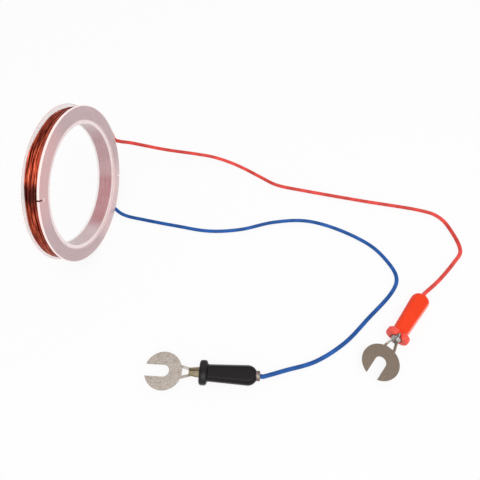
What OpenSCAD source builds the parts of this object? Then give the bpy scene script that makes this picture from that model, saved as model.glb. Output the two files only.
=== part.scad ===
// Demonstration coil: enamelled copper wire on a clear bobbin that stands on its rims,
// with a red and a blue lead that lie on the table and end in fork plugs.
// X runs along the coil's axis, Z is up and the origin is on the table under the coil's centre.

/* [Bobbin] */
// Outside diameter of the two flanges
flange_d = 60; // [54:0.5:68]
// Height of the flanges above the core tube
flange_h = 5; // [4.6:0.1:5.6]
// Thickness of each flange
flange_t = 0.8; // [0.6:0.1:1.4]
// Width of the groove between the flanges
groove_w = 5.3; // [5.2:0.1:6.5]
// Wall thickness of the core tube
tube_wall = 1.5; // [1:0.1:2.5]
// How far the front end of the core tube lies behind the face of the front flange
front_recess = 0.4; // [0:0.1:0.5]
// How far the core tube stands out past the rear flange
rear_lip = 0.6; // [0.2:0.1:1.2]
// Width of the wire slits in the front flange
slit_w = 0.6; // [0.5:0.05:1]
// Height of flange that is left under a wire slit
slit_foot = 2.8; // [1.2:0.1:3]
// Place of the first slit round the coil, in degrees
slit_angle = 139.5; // [100:0.5:170]

/* [Winding] */
// Diameter of the enamelled wire
wire_d = 0.38; // [0.3:0.02:0.4]
// Thickness of the inner layers on the core tube
winding_h = 3.7; // [2:0.1:3.8]

/* [Solder joints] */
// Length of a solder joint along the groove
joint_len = 3; // [2:0.1:5]
// Width of a solder joint across the groove
joint_w = 1.7; // [1.4:0.1:2]
// Height of a solder joint
joint_h = 0.9; // [0.85:0.05:1.2]
// Place of the red joint round the coil, in degrees
red_joint_angle = 12; // [6:1:20]
// Place of the blue joint round the coil, in degrees
blue_joint_angle = -40; // [-42:1:-30]

/* [Leads] */
// Outside diameter of a lead
lead_d = 1.6; // [1.2:0.1:1.7]
// Diameter of a lead's stranded conductor
core_d = 0.8; // [0.5:0.05:0.8]
// Bared length between a solder joint and the end of the sheath
bare_len = 1.2; // [0.6:0.1:2]

/* [Fork] */
// Diameter of the fork's disc
fork_d = 13.6; // [11:0.1:16]
// Width of the fork's slot
slot_w = 4.3; // [3.2:0.1:5.4]
// Sheet thickness of the fork
fork_t = 0.8; // [0.5:0.1:1]
// Black plug: distance from the middle of the disc to the front of the collar
black_neck_len = 13.2; // [11.5:0.1:16]
// Red plug: the same distance, with the handle pushed further onto the fork
red_neck_len = 11.2; // [11:0.1:16]
// Black plug: length of the barrel's cone in front of the collar
black_cone_len = 3.7; // [2.5:0.1:4]
// Red plug: the same length
red_cone_len = 1.2; // [1:0.1:4]
// Diameter at the mouth of the barrel's cone
mouth_d = 2.8; // [1.8:0.1:3]
// Width of the two strips that join the disc to the barrel
strip_w = 0.8; // [0.6:0.05:0.9]
// Diameter of the barrel at the collar
barrel_d = 3.8; // [3.2:0.1:4.2]
// Diameter of the barrel's crimped part inside the handle
crimp_d = 3; // [2.4:0.1:3.2]
// Length of the barrel's crimped part
crimp_len = 6; // [4:0.5:8]
// Width of the barrel's rolled seam
seam_w = 0.25; // [0.15:0.05:0.4]

/* [Handle] */
// Length of the black handle, collar included
black_handle_len = 21.2; // [18:0.1:28]
// Length of the red handle, collar included
red_handle_len = 23.6; // [18:0.1:28]
// Width of the handle behind its collar
body_front_w = 5.8; // [5:0.1:7]
// Width of the handle at its round end
body_rear_w = 7; // [6:0.1:8.6]
// Thickness of the handle
body_t = 4.3; // [4.1:0.1:5.6]
// Bevel along the handle's edges
body_bevel = 1; // [0.4:0.1:1.5]
// Width of the collar
collar_w = 8.8; // [7.6:0.1:11]
// Height of the collar
collar_h = 6.2; // [6:0.1:7.4]
// Length of the collar
collar_len = 3; // [2.6:0.1:4]
// Rounding of the collar's edges
collar_round = 1; // [0.4:0.1:1.2]
// Diameter of the collar's mouth
collar_mouth_d = 5; // [4.6:0.1:5.4]
// Outside diameter of the ferrule round the lead
ferrule_d = 3.6; // [2.6:0.1:3.8]
// Length of ferrule that shows behind the black handle
black_ferrule_show = 0.9; // [0.2:0.1:2.5]
// Length of ferrule that shows behind the red handle
red_ferrule_show = 0.2; // [0.2:0.1:2.5]
// Depth to which the ferrule sits in the handle
ferrule_seat = 1.6; // [1:0.1:2.5]

/* [Places on the table] */
// Black plug: place of the collar's front along X
black_x = 59.1; // [50:0.1:66]
// Black plug: place of the collar's front along Y
black_y = -56; // [-60:0.1:-50]
// Black plug: turn on the table, in degrees
black_turn = 7; // [0:0.5:12]
// Red plug: place of the collar's front along X
red_x = 129.9; // [127:0.1:134]
// Red plug: place of the collar's front along Y
red_y = -31.1; // [-34:0.1:-26]
// Red plug: turn on the table, in degrees
red_turn = 59.5; // [54:0.5:66]

/* [Hidden] */

// Clearance of a piece that is slid or pushed over another
fit_gap = 0.05;
// Clearance round a lead where it passes through a hole
lead_gap = 0.1;
// Clearance between the wire or a joint and the side of the groove
side_gap = 0.1;
// Clearance of what lies on top of the winding
top_gap = 0.15;
// Overrun of a cut past the face that it opens
cut = 1;

// Rings in one turn of the winding, sides of its tube and whole turns between the joints
loop_rings = 24;
wire_sides = 6;
whole_turns = 5;
// Steps of the bend where an end of the wire turns up into its joint
bend_steps = 4;
// Sides of a lead and rings in each span of its route
lead_sides = 8;
span_rings = 2;

// The core tube, the inner layers and the slits all follow from the flanges.
axis_z = flange_d / 2;
tube_d = flange_d - 2 * flange_h;
tube_len = groove_w + 2 * flange_t - front_recess + rear_lip;
tube_x = -groove_w / 2 - flange_t - rear_lip;
winding_d = tube_d + 2 * winding_h;
slit_depth = flange_h - slit_foot;

// The wire's path lies on the inner layers, also at the middle of the straight side between two rings.
wire_r = (winding_d / 2 + wire_d / 2 + fit_gap) / cos(180 / loop_rings);
wire_top = wire_r + wire_d / 2;
wire_x = groove_w / 2 - side_gap - wire_d / 2;
wire_turn = whole_turns * 360 + blue_joint_angle + 360 - red_joint_angle;

// A lead's sheath clears the winding, and its conductor is at half the height of the joint.
lead_r = wire_top + top_gap + lead_d / 2;
lead_x = groove_w / 2 - 2 * side_gap - lead_d / 2;
joint_low = lead_r - joint_h / 2;
joint_edge = groove_w / 2 - side_gap / 2;
joint_bevel = joint_h / 3;
sheath_start = joint_len / 2 + bare_len;

// A plug rests on its collar and on the end of its handle.
handle_end_r = body_rear_w / 2;
foot_x = max(black_handle_len, red_handle_len) - body_bevel;
plug_pitch = atan((collar_h - body_t) / 2 / (foot_x - collar_len + collar_round));
plug_z = collar_h / 2 * cos(plug_pitch) + (collar_len - collar_round) * sin(plug_pitch);
// Each pose holds the place, the turn and the plug's own lengths: handle, neck, bare ferrule and cone.
black_pose = [black_x, black_y, black_turn, black_handle_len, black_neck_len, black_ferrule_show,
              black_cone_len];
red_pose = [red_x, red_y, red_turn, red_handle_len, red_neck_len, red_ferrule_show, red_cone_len];
crimp_start = 2;
crimp_end = crimp_start + crimp_len;
lead_end = crimp_end + 2 * lead_gap;
function ferrule_end(pose) = pose[3] + pose[5];

// Free routes of the leads, from the coil to the plug, chosen on the table.
red_route = [[1.85, 31.9, 23.9], [3.6, 33.6, 21.4], [6.5, 37.8, 16.9], [19, 44, 8.8], [34, 48.2, 4],
             [42, 49.3, 2.2], [50.5, 48.2, 1.2], [59, 45.3, 0.9], [68, 41.1, 0.9], [76.5, 37.6, 0.9],
             [90, 36.4, 0.9], [117, 35, 0.9], [143, 34.1, 0.9], [152.5, 31.4, 0.9], [157.5, 23.9, 0.9],
             [160, 14.8, 0.9], [156.5, 8, 0.9], [149.2, -2, 1.4]];
blue_route = [[-1.4, 14.6, 1.9], [2.2, 11, 0.9], [8.6, 7.6, 0.9], [19, 6.6, 0.9], [34, 5.9, 0.9],
              [49, 5.7, 0.9], [63, 9, 0.9], [77, 15.4, 0.9], [91.5, 18.8, 0.9], [106, 16.8, 0.9],
              [120.5, 10.9, 0.9], [128.6, 3.2, 0.9], [131.9, -4, 0.9], [129.1, -11.8, 0.9],
              [120.2, -23.8, 0.9], [111.5, -35.1, 0.9], [101, -44.1, 0.9], [90, -49.5, 1.3]];

// Point of the coil at an axial place, a radius and an angle, moved along the turn's tangent there.
function coil_point(x, r, angle, ahead = 0) =
    [x, r * cos(angle) - ahead * sin(angle), axis_z + r * sin(angle) + ahead * cos(angle)];

// Point on the axis of a plug, counted from the front of its collar towards the lead.
function plug_point(pose, x) =
    [pose[0] + x * cos(plug_pitch) * cos(pose[2]), pose[1] + x * cos(plug_pitch) * sin(pose[2]),
     plug_z - x * sin(plug_pitch)];

function unit(v) = v / norm(v);
function heading(p, i) = unit(p[min(i + 1, len(p) - 1)] - p[max(i - 1, 0)]);

// One ring of a tube round a point, square to the heading, with its first side towards the reference.
function ring(c, t, reference, r, sides) =
    let (u = unit(reference - (reference * t) * t), v = cross(t, u))
    [for (k = [0 : sides - 1]) c + r * (cos(360 * k / sides) * u + sin(360 * k / sides) * v)];

// Closed tube along points.
module tube(points, d, sides, reference) {
    count = len(points);
    rings = [for (i = [0 : count - 1]) each ring(points[i], heading(points, i), reference, d / 2, sides)];
    last = (count - 1) * sides;
    walls = [for (i = [0 : count - 2], k = [0 : sides - 1])
        let (a = i * sides + k, b = i * sides + (k + 1) % sides)
        each [[a, a + sides, b + sides], [a, b + sides, b]]];
    front = [for (k = [1 : sides - 2]) [0, k, k + 1]];
    back = [for (k = [1 : sides - 2]) [last, last + k + 1, last + k]];
    polyhedron(rings, concat(walls, front, back), convexity = 10);
}

// Smooth curve through route points.
function curve_point(p, i, t) =
    let (a = p[max(i - 1, 0)], b = p[i], c = p[i + 1], d = p[min(i + 2, len(p) - 1)])
    (2 * b + (c - a) * t + (2 * a - 5 * b + 4 * c - d) * t * t + (3 * b - a - 3 * c + d) * t * t * t) / 2;
function curve(p) =
    [for (i = [0 : len(p) - 2], k = [0 : span_rings - 1]) curve_point(p, i, k / span_rings), p[len(p) - 1]];
function path_length(p) = len(p) < 2 ? 0 : norm(p[1] - p[0]) + path_length([for (i = [1 : len(p) - 1]) p[i]]);

// A lead runs straight out of its joint, along its free route and straight into its plug.
function lead_path(x, angle, route, pose) =
    let (out = [for (s = [0, 2, 4]) coil_point(x, lead_r, angle, -sheath_start - s * lead_d)],
         into = [for (s = [1, 0.25]) plug_point(pose, ferrule_end(pose) + s * lead_d)])
    concat([out[0]], curve(concat([out[1], out[2]], route, into)), [plug_point(pose, lead_end)]);
red_path = lead_path(lead_x, red_joint_angle, red_route, red_pose);
blue_path = lead_path(-lead_x, blue_joint_angle, blue_route, black_pose);

// One unbroken wire: up out of the red joint's underside, round the groove, and up into the blue joint.
bend_r = joint_low - wire_r - wire_d;
bend_deg = bend_r / wire_r * 180 / PI;
function rise(x, angle, side) =
    concat([coil_point(x, joint_low, angle)],
           [for (k = [0 : bend_steps])
               let (a = 90 * k / bend_steps)
               coil_point(x, wire_r + bend_r * (1 - sin(a)), angle, side * bend_r * (1 - cos(a)))]);
function reversed(p) = [for (i = [len(p) - 1 : -1 : 0]) p[i]];
turn_steps = floor(wire_turn / 360 * loop_rings);
turns_path = [for (i = [1 : turn_steps - 1])
    coil_point(wire_x - 2 * wire_x * i / turn_steps, wire_r, red_joint_angle + wire_turn * i / turn_steps)];
wire_path = concat(rise(wire_x, red_joint_angle, 1), turns_path,
                   reversed(rise(-wire_x, blue_joint_angle, -1)));

// Least gap of the winding to itself, measured between points half a turn or more apart.
least_gap = min([for (i = [0 : len(wire_path) - 1], j = [i + loop_rings / 2 : 1 : len(wire_path) - 1])
    norm(wire_path[i] - wire_path[j])]) - wire_d;
echo(least_gap_of_winding_to_itself = least_gap);
echo(red_lead_length = path_length(red_path), blue_lead_length = path_length(blue_path));

// Turns a shape drawn along Z so that it runs along the coil's axis.
module on_axis(x) {
    translate([x, 0, axis_z]) rotate([0, 90, 0]) children();
}

// Frame at an angle of the coil: Y is outwards, Z runs along the turn.
module at_angle(angle) {
    translate([0, 0, axis_z]) rotate([angle, 0, 0]) children();
}

// Frame of a plug: X runs along its axis from the front of the collar towards the lead.
module at_plug(pose) {
    translate([pose[0], pose[1], plug_z]) rotate([0, plug_pitch, pose[2]]) children();
}

// Turns a shape drawn along Z so that it runs along a plug's axis.
module along_plug(x) {
    translate([x, 0, 0]) rotate([0, 90, 0]) children();
}

module washer(d, bore, h) {
    difference() {
        cylinder(d = d, h = h, $fn = 96);
        translate([0, 0, -cut]) cylinder(d = bore, h = h + 2 * cut, $fn = 96);
    }
}

module core_tube() {
    color([0.9, 0.84, 0.85, 0.5]) on_axis(tube_x) washer(tube_d, tube_d - 2 * tube_wall, tube_len);
}

module flange() {
    washer(flange_d, tube_d + 2 * fit_gap, flange_t);
}

module slit(angle) {
    at_angle(angle)
        translate([groove_w / 2 - cut, flange_d / 2 - slit_depth, -slit_w / 2])
            cube([flange_t + 2 * cut, slit_depth + cut, slit_w]);
}

module front_flange() {
    color([0.86, 0.78, 0.79, 0.5]) difference() {
        on_axis(groove_w / 2) flange();
        slit(slit_angle);
        slit(slit_angle + 180);
    }
}

module rear_flange() {
    color([0.86, 0.78, 0.79, 0.5]) on_axis(-groove_w / 2 - flange_t) flange();
}

module winding_inner() {
    inner_w = groove_w - 2 * fit_gap;
    color([0.5, 0.16, 0.08]) on_axis(-inner_w / 2) washer(winding_d, tube_d + 2 * fit_gap, inner_w);
}

module winding_outer() {
    color([0.72, 0.3, 0.16]) tube(wire_path, wire_d, wire_sides, [1, 0, 0]);
}

// Start of the winding, led out at the side of the inner layers, up the slit and over the turns.
module start_tail() {
    low = tube_d / 2 + slit_foot + wire_d;
    high = wire_top + top_gap + wire_d / 2;
    out = groove_w / 2 + flange_t / 2;
    over = groove_w / 2 - 2 * wire_d;
    side = groove_w / 2 - fit_gap;
    color([0.35, 0.1, 0.06]) at_angle(slit_angle) {
        translate([side, low, 0]) rotate([0, 90, 0]) cylinder(d = wire_d, h = out - side, $fn = 24);
        translate([out, low, 0]) sphere(d = wire_d, $fn = 24);
        translate([out, low, 0]) rotate([-90, 0, 0]) cylinder(d = wire_d, h = high - low, $fn = 24);
        translate([out, high, 0]) sphere(d = wire_d, $fn = 24);
        translate([over, high, 0]) rotate([0, 90, 0]) cylinder(d = wire_d, h = out - over, $fn = 24);
    }
}

module solder_joint(angle, side) {
    inner = joint_edge - joint_w;
    high = joint_low + joint_h;
    color([0.72, 0.72, 0.7]) at_angle(angle)
        linear_extrude(height = joint_len, center = true)
            polygon([for (p = [[joint_edge, joint_low], [joint_edge, high - joint_bevel],
                               [joint_edge - joint_bevel, high], [inner + joint_bevel, high],
                               [inner, high - joint_bevel], [inner, joint_low]]) [side * p[0], p[1]]]);
}

module bare_end(angle, side) {
    color([0.8, 0.55, 0.35]) at_angle(angle)
        translate([side * lead_x, lead_r, -sheath_start]) cylinder(d = core_d, h = bare_len, $fn = 24);
}

module red_joint() { solder_joint(red_joint_angle, 1); }
module blue_joint() { solder_joint(blue_joint_angle, -1); }
module red_bare_end() { bare_end(red_joint_angle, 1); }
module blue_bare_end() { bare_end(blue_joint_angle, -1); }

module red_lead() {
    color([0.9, 0.2, 0.18]) tube(red_path, lead_d, lead_sides, [0, 0, 1]);
}

module blue_lead() {
    color([0.1, 0.32, 0.75]) tube(blue_path, lead_d, lead_sides, [0, 0, 1]);
}

// Disc with a round edge, drawn along Z.
module round_edged_disc(d, h, edge) {
    rotate_extrude($fn = 40) hull() {
        square([d / 2 - edge, h]);
        for (z = [edge, h - edge]) translate([d / 2 - edge, z]) circle(r = edge, $fn = 20);
    }
}

module collar() {
    spread = (collar_w - collar_h) / 2;
    hull() for (side = [-1, 1])
        translate([0, side * spread, 0]) along_plug(0) round_edged_disc(collar_h, collar_len, collar_round);
}

// Flat paddle that widens to a round end, with a bevel along its edges.
module paddle(handle_len) {
    end_x = handle_len - handle_end_r;
    start = collar_len - collar_round;
    flat_t = body_t - 2 * body_bevel;
    hull() {
        translate([start, -body_front_w / 2, -flat_t / 2]) cube([cut, body_front_w, flat_t]);
        translate([start, body_bevel - body_front_w / 2, -body_t / 2])
            cube([cut, body_front_w - 2 * body_bevel, body_t]);
        translate([end_x, 0, 0]) cylinder(r = handle_end_r, h = flat_t, center = true, $fn = 48);
        translate([end_x, 0, 0]) cylinder(r = handle_end_r - body_bevel, h = body_t, center = true, $fn = 48);
    }
}

module handle_hole(x, d, h) {
    along_plug(x) cylinder(d = d, h = h, $fn = 48);
}

module handle(pose) {
    at_plug(pose) difference() {
        union() {
            collar();
            paddle(pose[3]);
        }
        handle_hole(-cut, collar_mouth_d, crimp_start + 2 * lead_gap + cut);
        handle_hole(0, crimp_d + 2 * fit_gap, crimp_end + lead_gap);
        handle_hole(0, lead_d + 2 * lead_gap, pose[3] + cut);
        handle_hole(pose[3] - ferrule_seat, ferrule_d + 2 * fit_gap, ferrule_seat + cut);
    }
}

module red_handle() { color([1, 0.27, 0.14]) handle(red_pose); }
module black_handle() { color([0.13, 0.12, 0.12]) handle(black_pose); }

// Half width of the neck, which tapers from the disc to the mouth of the barrel.
function neck_root(pose) = -pose[4] + fork_d / 4;
function neck_tip(pose) = -pose[6] + fork_t / 2;
function neck_half(pose, x) =
    let (done = (x - neck_root(pose)) / (neck_tip(pose) - neck_root(pose)))
    (fork_d * 0.45 * (1 - done) + mouth_d * done) / 2;

// Flat of the fork: a slotted disc with a neck of two strips.
module fork_flat(pose) {
    disc_x = -pose[4];
    ends = [neck_root(pose), neck_tip(pose)];
    eye = [disc_x + fork_d / 2, -pose[6] - fork_t / 4];
    linear_extrude(height = fork_t) difference() {
        union() {
            translate([disc_x, 0]) circle(d = fork_d, $fn = 96);
            polygon([[ends[0], neck_half(pose, ends[0])], [ends[1], neck_half(pose, ends[1])],
                     [ends[1], -neck_half(pose, ends[1])], [ends[0], -neck_half(pose, ends[0])]]);
        }
        translate([disc_x, 0]) circle(d = slot_w, $fn = 48);
        translate([disc_x - fork_d, -slot_w / 2]) square([fork_d, slot_w]);
        polygon([[eye[0], neck_half(pose, eye[0]) - strip_w], [eye[1], neck_half(pose, eye[1]) - strip_w],
                 [eye[1], strip_w - neck_half(pose, eye[1])], [eye[0], strip_w - neck_half(pose, eye[0])]]);
    }
}

// Side of the neck that curls up towards the barrel.
module neck_wing(side, pose) {
    wing_t = fork_t / 2;
    near = -pose[4] + fork_d / 2 - fork_t;
    hull() {
        translate([near, side * (neck_half(pose, near) - wing_t / 2) - wing_t / 2, 0])
            cube([wing_t, wing_t, fork_t]);
        translate([-pose[6], side * (mouth_d - wing_t) / 2 - wing_t / 2, 0])
            cube([wing_t, wing_t, mouth_d / 2]);
    }
}

// Rolled barrel: a cone in front of the collar, a shoulder inside it and a crimped part behind.
module barrel_solid(cone_len) {
    along_plug(0) rotate_extrude($fn = 48)
        polygon([[0, -cone_len], [mouth_d / 2, -cone_len], [barrel_d / 2, 0], [barrel_d / 2, crimp_start],
                 [crimp_d / 2, crimp_start], [crimp_d / 2, crimp_end], [0, crimp_end]]);
}

module fork(pose) {
    mouth_x = -pose[6] - cut;
    at_plug(pose) color([0.6, 0.57, 0.54]) difference() {
        union() {
            translate([0, 0, -mouth_d / 2]) {
                fork_flat(pose);
                neck_wing(-1, pose);
                neck_wing(1, pose);
            }
            barrel_solid(pose[6]);
        }
        along_plug(mouth_x) cylinder(d = core_d + 2 * lead_gap, h = crimp_end + cut - mouth_x, $fn = 32);
        translate([mouth_x, -seam_w / 2, 0]) cube([crimp_start - cut - mouth_x, seam_w, barrel_d]);
    }
}

module red_fork() { fork(red_pose); }
module black_fork() { fork(black_pose); }

module ferrule(pose) {
    at_plug(pose) along_plug(pose[3] - ferrule_seat)
        washer(ferrule_d, lead_d + 2 * lead_gap, ferrule_seat + pose[5]);
}

module red_ferrule() { color([0.9, 0.3, 0.22]) ferrule(red_pose); }
module black_ferrule() { color([0.45, 0.4, 0.37]) ferrule(black_pose); }

// Bared conductor of a lead, held in the barrel of its fork.
module conductor(pose) {
    start = -pose[6] + fork_t / 2;
    color([0.8, 0.55, 0.35]) at_plug(pose) along_plug(start)
        cylinder(d = core_d, h = lead_end - start, $fn = 24);
}

module red_conductor() { conductor(red_pose); }
module black_conductor() { conductor(black_pose); }

core_tube();
front_flange();
rear_flange();
winding_inner();
winding_outer();
start_tail();
red_joint();
blue_joint();
red_bare_end();
blue_bare_end();
red_lead();
blue_lead();
red_handle();
black_handle();
red_fork();
black_fork();
red_ferrule();
black_ferrule();
red_conductor();
black_conductor();
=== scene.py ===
import math

import bmesh
import bpy
from bpy.props import FloatProperty, FloatVectorProperty, IntProperty, PointerProperty
from mathutils import Matrix, Vector, noise


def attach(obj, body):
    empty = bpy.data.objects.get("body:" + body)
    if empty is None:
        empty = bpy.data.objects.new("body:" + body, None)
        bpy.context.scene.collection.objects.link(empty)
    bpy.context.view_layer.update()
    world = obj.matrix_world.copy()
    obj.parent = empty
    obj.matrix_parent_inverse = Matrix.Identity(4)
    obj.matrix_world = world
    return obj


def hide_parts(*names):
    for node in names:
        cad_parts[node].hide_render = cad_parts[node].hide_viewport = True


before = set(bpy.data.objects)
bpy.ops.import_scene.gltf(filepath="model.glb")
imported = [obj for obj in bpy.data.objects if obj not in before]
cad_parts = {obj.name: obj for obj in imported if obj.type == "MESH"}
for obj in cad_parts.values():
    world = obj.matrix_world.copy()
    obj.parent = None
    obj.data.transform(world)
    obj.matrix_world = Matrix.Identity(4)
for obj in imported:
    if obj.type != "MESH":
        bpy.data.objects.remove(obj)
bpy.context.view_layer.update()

bl_info = {
    "name": "Demonstration coil",
    "version": (1, 0, 0),
    "blender": (4, 5, 0),
    "location": "View3D > Sidebar > Coil",
    "description": "Dresses a wound bobbin with its two leads and their fork plugs",
    "category": "Add Mesh",
}

# Sizes and places that the solids share. X is the coil's axis, Z is up, and sizes are in metres.
MM = 0.001
FLANGE_R = 30 * MM
AXIS_Z = FLANGE_R
FLANGE_T = 0.8 * MM
FLANGE_GAP = 0.05 * MM
TUBE_R = 25 * MM
TUBE_BORE_R = 23.5 * MM
TUBE_ENDS = (-4.05 * MM, 3.05 * MM)
GROOVE_HALF = 2.65 * MM
SLIT_W = 0.6 * MM
SLIT_FOOT_R = 27.8 * MM
WIRE_TOP_R = 29.38 * MM
WIRE_EDGE_X = 2.36 * MM
TAIL_R = 0.19 * MM
LEAD_R = 30.33 * MM
LEAD_X = 1.65 * MM
JOINT_LOW_R = 29.88 * MM
SHEATH_START = 2.7 * MM
PLUG_Z = 3.1888 * MM
PLUG_PITCH = math.radians(2.6404)
# Each plug: place of its collar's front in millimetres, turn in degrees and length of its handle.
RED_PLUG = (129.9, -31.1, 59.5, 23.6)
BLACK_PLUG = (59.1, -56.0, 7.0, 21.2)

# Angles about the coil's axis, counted from +Y towards +Z: the joints, the first slit and the band of painted
# dark reflection on the winding.
RED_JOINT_ANGLE = math.radians(12)
BLUE_JOINT_ANGLE = math.radians(-40)
SLIT_ANGLE = math.radians(139.5)
REFLECTION_BAND_ANGLE = math.radians(136.5)
# Angles of the painted highlight band on the winding, and of its bottom, where the painted shade away from
# that band is weaker.
HIGHLIGHT_BAND_ANGLE = math.radians(120)
LOWER_ANGLE = math.radians(170)
# Angles where the front flange is rosy and where it is pale; at its top and bottom it keeps the mauve of
# painted shade.
NEAR_ANGLE = math.radians(124)
FAR_ANGLE = math.radians(-65)
# Angles where the painted shade on the tube's wall is deepest and where the wall is palest from painted
# light.
DEEP_SHADE_ANGLE = math.radians(-67)
PALE_ANGLE = math.radians(-122)
# Angle where the winding is thinnest, cosines where that starts and is full, and how much lower it lies.
DIP_ANGLE = math.radians(76)
DIP_START, DIP_FULL = 0.8, 0.98
DIP = 0.45 * MM

# Routes of the leads in millimetres, from the joint in the groove to the end inside the plug.
RED_ROUTE = [
    (1.65, 30.23, 33.66), (1.65, 30.89, 30.53), (1.65, 31.56, 27.4), (1.85, 31.9, 23.9), (3.6, 33.6, 21.4),
    (6.5, 37.8, 16.9), (19, 44, 8.8), (34, 48.2, 4), (42, 49.3, 2.2), (50.5, 48.2, 1.2), (59, 45.3, 0.9),
    (68, 41.1, 0.9), (76.5, 37.6, 0.9), (90, 36.4, 0.9), (117, 35, 0.9), (143, 34.1, 0.9), (152.5, 31.4, 0.9),
    (157.5, 23.9, 0.9), (160, 14.8, 0.9), (156.5, 8, 0.9), (149.2, -2, 1.4), (142.78, -9.24, 2.02),
    (142.17, -10.27, 2.07), (134.06, -24.04, 2.81),
]
BLUE_ROUTE = [
    (-1.65, 21.5, 8.44), (-1.65, 19.44, 5.98), (-1.65, 17.38, 3.53), (-1.4, 14.6, 1.9), (2.2, 11, 0.9),
    (8.6, 7.6, 0.9), (19, 6.6, 0.9), (34, 5.9, 0.9), (49, 5.7, 0.9), (63, 9, 0.9), (77, 15.4, 0.9),
    (91.5, 18.8, 0.9), (106, 16.8, 0.9), (120.5, 10.9, 0.9), (128.6, 3.2, 0.9), (131.9, -4, 0.9),
    (129.1, -11.8, 0.9), (120.2, -23.8, 0.9), (111.5, -35.1, 0.9), (101, -44.1, 0.9), (90, -49.5, 1.3),
    (82.6, -53.12, 2.1), (81.41, -53.26, 2.15), (67.23, -55, 2.81),
]

# Camera at the viewing angle of the photograph: focal length in pixels of a 480 pixel frame, place and axes.
FRAME_PX = 480
FOCAL_PX = 385
CAMERA_PLACE = (0.07924, -0.0853, 0.14735)
CAMERA_RIGHT = (0.9851, 0.1719, 0.0)
CAMERA_UP = (-0.1464, 0.839, 0.524)
CAMERA_BACK = (0.0901, -0.5162, 0.8517)

BLACK = (0, 0, 0, 1)
WHITE = (1, 1, 1, 1)
# Range that most values of a noise lie in.
NOISE_LOW, NOISE_HIGH = 0.3, 0.7


def length(name, text, default):
    """Property for a size in metres."""
    return FloatProperty(name=name, description=text, default=default, min=0.0, max=1.0, precision=5,
                         unit="LENGTH", subtype="DISTANCE")


def colour(name, text, default):
    """Property for a colour."""
    return FloatVectorProperty(name=name, description=text, default=default, size=3, min=0.0, max=1.0,
                               subtype="COLOR")


def share(name, text, default, high=1.0):
    """Property for a share or a plain number."""
    return FloatProperty(name=name, description=text, default=default, min=0.0, max=high, subtype="FACTOR")


class StageSettings(bpy.types.PropertyGroup):
    """Light and floor round the coil"""
    floor: colour("Floor", "Colour of the floor", (0.97, 0.97, 0.97))
    white: share("White share", "How much of the floor is plain white to the camera", 0.88)
    world: share("Room light", "Level of the even light from all round", 0.62, 2.0)
    lamp: FloatProperty(name="Lamp", description="Power of the large soft lamp", default=1.7, min=0.0,
                        unit="POWER")


class JointSettings(bpy.types.PropertyGroup):
    """The solder joints and the bared strands"""
    strand: length("Strand", "Radius of one strand of a lead's conductor", 0.132 * MM)
    solder: colour("Solder", "Colour of the solder where it is bright", (0.66, 0.66, 0.65))
    dull: colour("Dull solder", "Colour of the solder where it is dull", (0.36, 0.35, 0.34))
    copper: colour("Copper", "Colour of the bared strands where they are clean", (0.72, 0.36, 0.2))
    tarnish: colour("Tarnish", "Colour of the bared strands where they are tarnished", (0.42, 0.17, 0.08))


class LeadSettings(bpy.types.PropertyGroup):
    """The two leads"""
    diameter: length("Diameter", "Outside diameter of a lead", 1.6 * MM)
    red: colour("Red", "Colour of the red sheath", (0.76, 0.06, 0.045))
    blue: colour("Blue", "Colour of the blue sheath", (0.004, 0.088, 0.36))
    steps: IntProperty(name="Steps", description="Steps of the curve between two route points", default=8,
                       min=2, max=20)


class WindingSettings(bpy.types.PropertyGroup):
    """The copper winding"""
    wire: length("Wire", "Diameter of the enamelled wire", 0.56 * MM)
    steps: IntProperty(name="Steps", description="Steps of the wire in one turn", default=96, min=24, max=240)
    # Bright and dark are the painted highlights and the painted shade of the streaks along the turns.
    bright: colour("Bright", "Colour of the wire where the enamel is clean", (0.88, 0.185, 0.085))
    middle: colour("Middle", "Usual colour of the enamelled wire", (0.47, 0.062, 0.025))
    dark: colour("Dark", "Colour of the wire where the enamel is thick", (0.14, 0.008, 0.002))
    # The dark band colour is the painted dark reflection across the winding near the slit; it also darkens
    # the wire as painted shade away from the highlight band, and colours the tail.
    dark_band: colour("Stain", "Colour of the varnish at the start of the wire", (0.078, 0.0045, 0.002))


class BobbinSettings(bpy.types.PropertyGroup):
    """The clear bobbin"""
    milky: colour("Milky", "Colour of the plastic where nothing is behind it", (0.97, 0.93, 0.92))
    edge: colour("Edge", "Colour of the edges of the front, which gather light", (1.0, 0.84, 0.81))
    lip: colour("Lip", "Colour of the core tube's front end", (1.0, 0.84, 0.845))
    rosy: colour("Rosy", "Colour of the front flange's near side, with copper behind", (0.82, 0.49, 0.495))
    pale: colour("Pale rose", "Colour of the far side of the front flange", (0.88, 0.63, 0.63))
    # Mauve is painted shade, at the top and bottom of the front flange.
    mauve: colour("Mauve", "Colour of the top and bottom of the front flange", (0.63, 0.44, 0.46))
    # Deep and dusk are the copper seen through the tube's wall: deep where painted shade is laid at one
    # angle, dusk elsewhere.
    deep: colour("Deep", "Colour of the core tube's wall with the copper behind it", (0.525, 0.235, 0.253))
    dusk: colour("Dusk", "Colour of the tube's wall where fewer turns lie behind it", (0.575, 0.342, 0.36))
    outline: colour("Outline", "Colour of the two edges of the rear flange's rim", (0.95, 0.86, 0.87))
    outline_glow: colour("Outline glow", "Light that those edges gather", (0.2, 0.18, 0.18))
    cover: share("Cover", "How much of what is behind the front flange and the tube they hide", 0.9)
    rear_cover: share("Rear cover", "How much of what is behind the rear flange it hides", 0.5)
    glow: share("Glow", "How much light the front's edges gather", 0.09)
    round_edge: length("Round edge", "Rounding of the edges of the mouldings", 0.15 * MM)


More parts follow.
